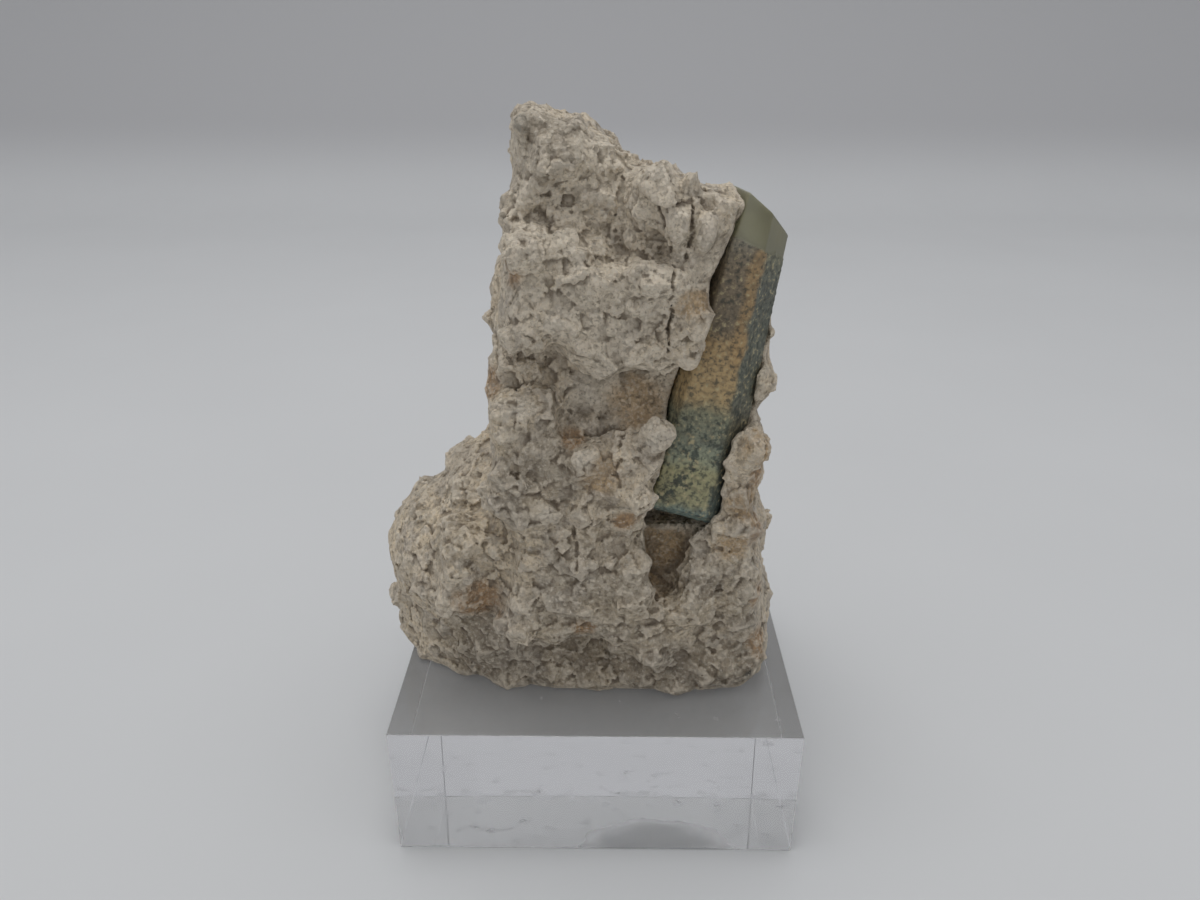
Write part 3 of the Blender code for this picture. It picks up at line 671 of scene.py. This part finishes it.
# Share of its radius within which a patch is full, and the size and reach of its border's drift
PATCH_FULL = 0.45
PATCH_DRIFT = (3 * MM, 1.2 * MM)

# Grains under a millimetre across, pale and dark, the dark crumbs partly painted shade in tiny pits, then
# dirt and painted shade in the hollows and painted highlight on the crests
GRAIN_AND_PAINTED_LIGHT_TONES = [
    # Crumbs pale and dark: grain tone, with the dark ones also painted shade in tiny pits
    ("crumb", 0.49, 0.35, 0.7, "#857967"),
    ("crumb", 0.53, 0.65, 0.65, "#EDE3D2"),
    ("grain", 0.4, 0.0, 0.4, "#A59A8B"),
    ("sugar", 0.35, 0.0, 0.35, "#8A7E6F"),
    ("sugar", 0.7, 1.0, 0.35, "#EADFCB"),
    # Dirt and painted shade in the fine and wide hollows
    ("hollow_fine", 0.0, 0.10, 0.7, "#6E604E"),
    ("hollow_wide", 0.05, 0.8, 0.5, "#6C5F50"),
    # Painted highlight on the crests
    ("hollow_fine", 0.0, -0.08, 0.5, "#E8DCC8"),
]
SUGAR_SIZE = 0.4 * MM
ROCK_CRUMB_SIZE = 0.45 * MM
# Relief too fine for the mesh: size and slope of broad and small leaning faces, and height of the crumbs
BROAD_FACETS = (1.0 * MM, 0.55)
BROAD_DRIFT = (2 * MM, 0.2 * MM)
SMALL_FACETS = (0.4 * MM, 0.75)
ROCK_CRUMB_HEIGHT = 0.18 * MM


def pegmatite_feldspar():
    """Broken white feldspar: milky grains with satin cleavage, iron staining and dirt in the hollows with
    painted shade over them, painted shade low down and painted light higher up.
    """
    material, tree = new_material("pegmatite_feldspar_broken")
    place = add(tree, "ShaderNodeTexCoord").outputs["Object"]
    follows = {name: add(tree, "ShaderNodeAttribute", attribute_name=name).outputs["Fac"]
               for name in ("tone", "grain", "hollow_fine", "hollow_wide")}
    follows["blotch"] = add(tree, "ShaderNodeTexNoise", {
        "Vector": place, "Scale": 1 / BLOTCH_SIZE, "Detail": 4.0})
    sugar = add(tree, "ShaderNodeTexVoronoi", {"Vector": place, "Scale": 1 / SUGAR_SIZE})
    follows["sugar"] = add(tree, "ShaderNodeSeparateXYZ", {0: sugar.outputs["Color"]}).outputs["X"]
    follows["crumb"] = add(tree, "ShaderNodeTexNoise", {
        "Vector": place, "Scale": 1 / ROCK_CRUMB_SIZE, "Detail": 5.0, "Roughness": 0.7})

    colour = ROCK_COLOUR
    for name, start, full, strength, tint in ROCK_TONES:
        colour = tinted(tree, colour, tint, strength, (follows[name], start, full))
    drifting = warped(tree, place, *PATCH_DRIFT)
    # Stains, painted light and painted shade, laid on one patch at a time
    for patch_colour, strength, spots in PATCHES:
        for spot, radius in spots:
            apart = add(tree, "ShaderNodeVectorMath", {0: drifting, 1: seen_at(*spot)},
                        operation="DISTANCE")
            colour = tinted(tree, colour, patch_colour, strength, (apart, radius * MM, PATCH_FULL * radius * MM))
    for name, start, full, strength, tint in GRAIN_AND_PAINTED_LIGHT_TONES:
        colour = tinted(tree, colour, tint, strength, (follows[name], start, full))

    broad, _ = facets(tree, warped(tree, place, *BROAD_DRIFT), *BROAD_FACETS)
    small, _ = facets(tree, place, *SMALL_FACETS)
    leaning = add(tree, "ShaderNodeMath", {0: broad, 1: small}, operation="ADD")
    relief = add(tree, "ShaderNodeMath", {0: follows["crumb"], 1: ROCK_CRUMB_HEIGHT, 2: leaning},
                 operation="MULTIPLY_ADD")
    bump = add(tree, "ShaderNodeBump", {"Height": relief, "Strength": 1.0, "Distance": 1.0})
    roughness = add(tree, "ShaderNodeMapRange", {"Value": follows["tone"], "To Min": 0.5, "To Max": 0.85},
                    interpolation_type="SMOOTHSTEP")
    shader = add(tree, "ShaderNodeBsdfPrincipled", {
        "Base Color": colour, "Roughness": roughness, "IOR": 1.53, "Normal": bump,
        "Subsurface Weight": 0.06, "Subsurface Radius": (1.0, 0.8, 0.6), "Subsurface Scale": 0.3 * MM,
    })
    add(tree, "ShaderNodeOutputMaterial", {"Surface": shader})
    return material


# Colour of the crust at heights in mm up the left face and up the right face, from the broken foot
LEFT_FACE = [
    (43.0, "#6A827D"), (45.6, "#788980"), (46.6, "#9D9A77"), (50.6, "#A6A27B"), (52.4, "#999F87"),
    (54.0, "#828775"), (57.6, "#87876E"), (59.4, "#B79E72"), (66.0, "#B5996E"), (67.6, "#7B6F5C"),
    (74.0, "#847661"), (77.0, "#908A7A"),
]
RIGHT_FACE = [
    (43.0, "#4F625F"), (46.0, "#515E58"), (52.0, "#5A6258"), (56.0, "#75725F"), (60.0, "#6B6E60"),
    (66.0, "#6B6E61"), (72.0, "#6B6E64"), (75.5, "#86856F"),
]
FOOT = 43.0
HEAD = 77.0
# Size and reach of the drift of the colour borders
FACE_DRIFT = (2.4 * MM, 0.9 * MM)

# Sizes of the dark patches and of the mica speckles in the crust, and of the fine relief all over
PATCH_SIZE = 1.9 * MM
SPECKLE_SIZE = 0.55 * MM
FINE_SIZE = 0.22 * MM
FINE_HEIGHT = 0.08 * MM
# Grains of pale mica and dark gaps between them: what each follows, its start, end, strength and colour
CRUST_TONES = [
    ("speckles", 0.50, 0.36, 0.7, "#3C423B"),
    ("speckles", 0.54, 0.68, 0.85, "#BDB08A"),
    ("grains", 0.45, 0.75, 0.35, "#3B372E"),
]
# Iron stain on the tip's sloping edge
TIP_STAIN_PLACE = (18.8, -13.5, 79.9)


def bands(tree, height, stops):
    """Colours that follow one another along the crystal, at heights in mm."""
    part = add(tree, "ShaderNodeMapRange", {
        "Value": height, "From Min": FOOT * MM, "From Max": HEAD * MM})
    ramp = add(tree, "ShaderNodeValToRGB", {"Fac": part})
    elements = ramp.color_ramp.elements
    while len(elements) < len(stops):
        elements.new(0.5)
    for element, (level, colour) in zip(elements, stops):
        element.position = (level - FOOT) / (HEAD - FOOT)
        element.color = linear(colour)
    return ramp.outputs["Color"]


def beryl():
    """Aquamarine: a clean, cloudy, pale green tip over a prism crusted with iron-stained clay and mica.

    The tip lets light through and shines softly. The crust is matt and granular, tan where iron has
    stained it and dark teal where the beryl shows between the grains.
    """
    material, tree = new_material("aquamarine_beryl_crusted")
    place = add(tree, "ShaderNodeTexCoord").outputs["Object"]
    crust = add(tree, "ShaderNodeAttribute", attribute_name="crust").outputs["Fac"]
    grains = add(tree, "ShaderNodeAttribute", attribute_name="grains").outputs["Fac"]
    drifting = warped(tree, place, *FACE_DRIFT)
    parts = add(tree, "ShaderNodeSeparateXYZ", {0: drifting}).outputs
    left = bands(tree, parts["Z"], LEFT_FACE)
    right = bands(tree, parts["Z"], RIGHT_FACE)

    # Distance to the right of the front edge
    rise = add(tree, "ShaderNodeMath", {0: parts["Z"], 1: FRONT_EDGE_LOW[1] * MM}, operation="SUBTRACT")
    edge = add(tree, "ShaderNodeMath", {0: rise, 1: FRONT_EDGE_SLOPE, 2: FRONT_EDGE_LOW[0] * MM},
               operation="MULTIPLY_ADD")
    side = add(tree, "ShaderNodeMath", {0: parts["X"], 1: edge}, operation="SUBTRACT")
    colour = tinted(tree, left, right, 1.0, (side, -0.4 * MM, 0.5 * MM))

    # Orange streak down the front edge in the upper half
    colour = tinted(tree, colour, "#AE8F62", 0.7, (side, -1.6 * MM, -0.8 * MM),
                    (side, 0.4 * MM, -0.2 * MM), (parts["Z"], 61 * MM, 65 * MM))

    # Dark teal patches in the lower half, where the crust is thin
    patches = add(tree, "ShaderNodeTexNoise", {
        "Vector": place, "Scale": 1 / PATCH_SIZE, "Detail": 6.0, "Roughness": 0.65})
    colour = tinted(tree, colour, "#323D39", 0.8, (patches, 0.52, 0.60), (parts["Z"], 60 * MM, 57 * MM))

    speckles = add(tree, "ShaderNodeTexNoise", {
        "Vector": place, "Scale": 1 / SPECKLE_SIZE, "Detail": 4.0, "Roughness": 0.65})
    follows = {"speckles": speckles, "grains": grains}
    for name, start, full, strength, tint in CRUST_TONES:
        colour = tinted(tree, colour, tint, strength, (follows[name], start, full))

    # Clean tip, milky towards the left, with an iron stain on its sloping edge
    tip = tinted(tree, "#B6B396", "#999573", 1.0, (parts["X"], 15 * MM, 18.5 * MM))
    from_stain = add(tree, "ShaderNodeVectorMath", {0: drifting, 1: Vector(TIP_STAIN_PLACE) * MM},
                     operation="DISTANCE")
    tip = tinted(tree, tip, "#8C6334", 0.7, (from_stain, 1.5 * MM, 0.4 * MM))
    colour = add(tree, "ShaderNodeMix", {0: crust, 6: tip, 7: colour}, data_type="RGBA")

    # Relief, roughness and clearness, from the clean tip to the crust
    relief, roughness, clearness = [
        add(tree, "ShaderNodeMapRange", {"Value": crust, "To Min": clean, "To Max": crusted},
            interpolation_type="SMOOTHSTEP")
        for clean, crusted in ((0.12, 0.7), (0.30, 0.72), (0.45, 0.0))]
    fine = add(tree, "ShaderNodeTexNoise", {"Vector": place, "Scale": 1 / FINE_SIZE, "Detail": 2.0})
    bump = add(tree, "ShaderNodeBump", {"Height": fine, "Strength": relief, "Distance": FINE_HEIGHT})
    shader = add(tree, "ShaderNodeBsdfPrincipled", {
        "Base Color": colour, "Roughness": roughness, "IOR": 1.58, "Transmission Weight": clearness,
        "Normal": bump,
    })
    cloud = add(tree, "ShaderNodeVolumeAbsorption", {"Color": "#C6C8AC", "Density": 85.0})
    add(tree, "ShaderNodeOutputMaterial", {"Surface": shader, "Volume": cloud})
    return material


# Scuffs of the block's underside: the heights between which they set in, and their size
SCUFF_TOP = 0.6 * MM
SCUFF_FULL = 0.1 * MM
SCUFF_SIZE = 3 * MM
# Film of dust on the block's top: the heights between which it sets in, and how dense it is
DUST_LOW = 18.98 * MM
DUST_HIGH = 19.04 * MM
DUST_DENSITY = 0.22
# Painted shadow of the rock, a dark film on the block's underside at the front: middle in mm, edge, where it
# is full, density, and its drift
SHADOW_FILM_PLACE = (8, -26, 0)
SHADOW_FILM_EDGE = 11 * MM
SHADOW_FILM_FULL = 6 * MM
SHADOW_FILM_DENSITY = 0.4
SHADOW_FILM_DRIFT = (6 * MM, 2 * MM)


def cast_acrylic():
    """Cast acrylic, polished all round: clear, with a film of dust on top, a scuffed underside, and a dark
    film under the front that is a painted shadow of the rock.
    """
    material, tree = new_material("cast_acrylic_polished")
    place = add(tree, "ShaderNodeTexCoord").outputs["Object"]
    height = add(tree, "ShaderNodeSeparateXYZ", {0: place}).outputs["Z"]
    underside = add(tree, "ShaderNodeMapRange", {
        "Value": height, "From Min": SCUFF_TOP, "From Max": SCUFF_FULL}, interpolation_type="SMOOTHSTEP")
    scuff = add(tree, "ShaderNodeTexNoise", {"Vector": place, "Scale": 1 / SCUFF_SIZE, "Detail": 6.0})
    scuffed = add(tree, "ShaderNodeMapRange", {
        "Value": scuff, "From Min": 0.45, "From Max": 0.75, "To Min": 0.02, "To Max": 0.3},
        interpolation_type="SMOOTHSTEP")
    roughness = add(tree, "ShaderNodeMath", {0: underside, 1: scuffed}, operation="MULTIPLY")
    shader = add(tree, "ShaderNodeBsdfPrincipled", {
        "Base Color": "#F3F3F4", "Roughness": roughness, "IOR": 1.49, "Transmission Weight": 1.0,
    })

    film = add(tree, "ShaderNodeMapRange", {
        "Value": height, "From Min": DUST_LOW, "From Max": DUST_HIGH, "To Max": DUST_DENSITY},
        interpolation_type="SMOOTHSTEP")
    apart = add(tree, "ShaderNodeVectorMath", {
        0: warped(tree, place, *SHADOW_FILM_DRIFT), 1: Vector(SHADOW_FILM_PLACE) * MM}, operation="DISTANCE")
    patch = add(tree, "ShaderNodeMapRange", {
        "Value": apart, "From Min": SHADOW_FILM_EDGE, "From Max": SHADOW_FILM_FULL}, interpolation_type="SMOOTHSTEP")
    # Painted shadow: a dark film on the underside at the front, where the rock's shadow falls
    painted_shadow = add(tree, "ShaderNodeMath", {0: patch, 1: underside}, operation="MULTIPLY")
    amount = add(tree, "ShaderNodeMath", {0: painted_shadow, 1: SHADOW_FILM_DENSITY, 2: film},
                 operation="MULTIPLY_ADD")
    # Pale dust film on top, and the darker film of painted shadow underneath
    dust_and_shadow_colour = add(tree, "ShaderNodeMix", {0: painted_shadow, 6: "#E9E8E5", 7: "#A3A3A1"}, data_type="RGBA")
    dust = add(tree, "ShaderNodeBsdfDiffuse", {"Color": dust_and_shadow_colour})
    dust_and_shadow_film = add(tree, "ShaderNodeMixShader", {0: amount, 1: shader.outputs[0], 2: dust.outputs[0]})
    add(tree, "ShaderNodeOutputMaterial", {"Surface": dust_and_shadow_film})
    return material


# Height at which the painted shade on the card behind is full, and size of its uneven tone
CARD_SHADE_HEIGHT = 45 * MM
CARD_TONE_SIZE = 60 * MM


def backdrop_card():
    """Matt pale card, a little uneven, with painted shade that darkens it where it sweeps up behind."""
    material, tree = new_material("backdrop_matt_card")
    place = add(tree, "ShaderNodeTexCoord").outputs["Object"]
    tone = add(tree, "ShaderNodeTexNoise", {"Vector": place, "Scale": 1 / CARD_TONE_SIZE, "Detail": 2.0})
    height = add(tree, "ShaderNodeSeparateXYZ", {0: place}).outputs["Z"]
    card = add(tree, "ShaderNodeMix", {0: tone, 6: "#DDDEDE", 7: "#E2E3E3"}, data_type="RGBA")
    # Painted shade: the card darkens up the sweep
    colour = tinted(tree, card, "#C6C6C7", 1.0, (height, 0, CARD_SHADE_HEIGHT))
    shader = add(tree, "ShaderNodeBsdfPrincipled", {"Base Color": colour, "Roughness": 0.9})
    add(tree, "ShaderNodeOutputMaterial", {"Surface": shader})
    return material


# Stage, light and camera: places and sizes in mm, angles in degrees

CAMERA_PLACE = (1.58, -108.6, 97.05)
CAMERA_PITCH = 25.41
CAMERA_TURN = 0.65
CAMERA_LENS = 26.88
SENSOR_WIDTH = 36.0
FLOOR_HEIGHT = -0.05
FLOOR_HALF = 1200
SWEEP_START = 380
SWEEP_RADIUS = 160
WALL_TOP = 260
SWEEP_STEPS = 16
ROOM_COLOUR = "#BBBCBF"
ROOM_STRENGTH = 0.92
LAMP_PLACE = (-40, -30, 600)
LAMP_TARGET = (0, -5, 60)
LAMP_SIZE = 320
LAMP_POWER = 0.95


def make_backdrop():
    """A pale floor that sweeps up into a wall behind, drawn out sideways from one edge."""
    bpy.ops.object.select_all(action="DESELECT")
    bpy.ops.mesh.primitive_plane_add(size=1)
    backdrop = bpy.context.active_object
    backdrop.name = "backdrop"
    bpy.ops.object.mode_set(mode="EDIT")
    bpy.ops.mesh.delete(type="VERT")
    bpy.ops.object.mode_set(mode="OBJECT")
    profile = [(-FLOOR_HALF, 0), (SWEEP_START, 0)]
    for step in range(1, SWEEP_STEPS + 1):
        angle = math.radians(90 * step / SWEEP_STEPS)
        across = SWEEP_START + SWEEP_RADIUS * math.sin(angle)
        profile.append((across, SWEEP_RADIUS * (1 - math.cos(angle))))
    profile.append((SWEEP_START + SWEEP_RADIUS, WALL_TOP))
    points = [(-FLOOR_HALF * MM, y * MM, (z + FLOOR_HEIGHT) * MM) for y, z in profile]
    edges = [(i, i + 1) for i in range(len(points) - 1)]
    backdrop.data.from_pydata(points, edges, [])
    bpy.ops.object.mode_set(mode="EDIT")
    bpy.ops.mesh.select_all(action="SELECT")
    bpy.ops.mesh.extrude_region_move(TRANSFORM_OT_translate={"value": (2 * FLOOR_HALF * MM, 0, 0)})
    bpy.ops.mesh.select_all(action="SELECT")
    bpy.ops.mesh.faces_shade_smooth()
    bpy.ops.object.mode_set(mode="OBJECT")
    backdrop.data.materials.append(backdrop_card())


def make_light():
    """Even light from the room, and one soft lamp high over the object."""
    world = bpy.data.worlds.new("studio")
    world.use_nodes = True
    background = world.node_tree.nodes["Background"]
    background.inputs["Color"].default_value = linear(ROOM_COLOUR)
    background.inputs["Strength"].default_value = ROOM_STRENGTH
    bpy.context.scene.world = world
    data = bpy.data.lights.new("overhead", "AREA")
    data.shape = "SQUARE"
    data.size = LAMP_SIZE * MM
    data.energy = LAMP_POWER
    lamp = bpy.data.objects.new("overhead", data)
    lamp.location = Vector(LAMP_PLACE) * MM
    lamp.rotation_euler = (Vector(LAMP_TARGET) - Vector(LAMP_PLACE)).to_track_quat("-Z", "Y").to_euler()
    lamp.visible_camera = False
    bpy.context.scene.collection.objects.link(lamp)


def make_camera():
    """The camera, placed by how the block's edges show."""
    data = bpy.data.cameras.new("camera")
    data.lens = CAMERA_LENS
    data.sensor_width = SENSOR_WIDTH
    data.clip_start = 1 * MM
    camera = bpy.data.objects.new("camera", data)
    camera.location = Vector(CAMERA_PLACE) * MM
    camera.rotation_euler = (math.radians(90 - CAMERA_PITCH), 0, math.radians(CAMERA_TURN))
    bpy.context.scene.collection.objects.link(camera)
    bpy.context.scene.camera = camera


make_camera()
make_backdrop()
make_light()
bpy.context.scene.view_settings.view_transform = "Standard"

rock = make_rock()
rock.data.materials.append(pegmatite_feldspar())
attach(rock, "root")
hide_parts("matrix")

crystal = make_crystal()
crystal.data.materials.append(beryl())
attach(crystal, "root")
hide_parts("aquamarine")

block = make_block()
block.data.materials.append(cast_acrylic())
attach(block, "root")
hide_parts("display_block")
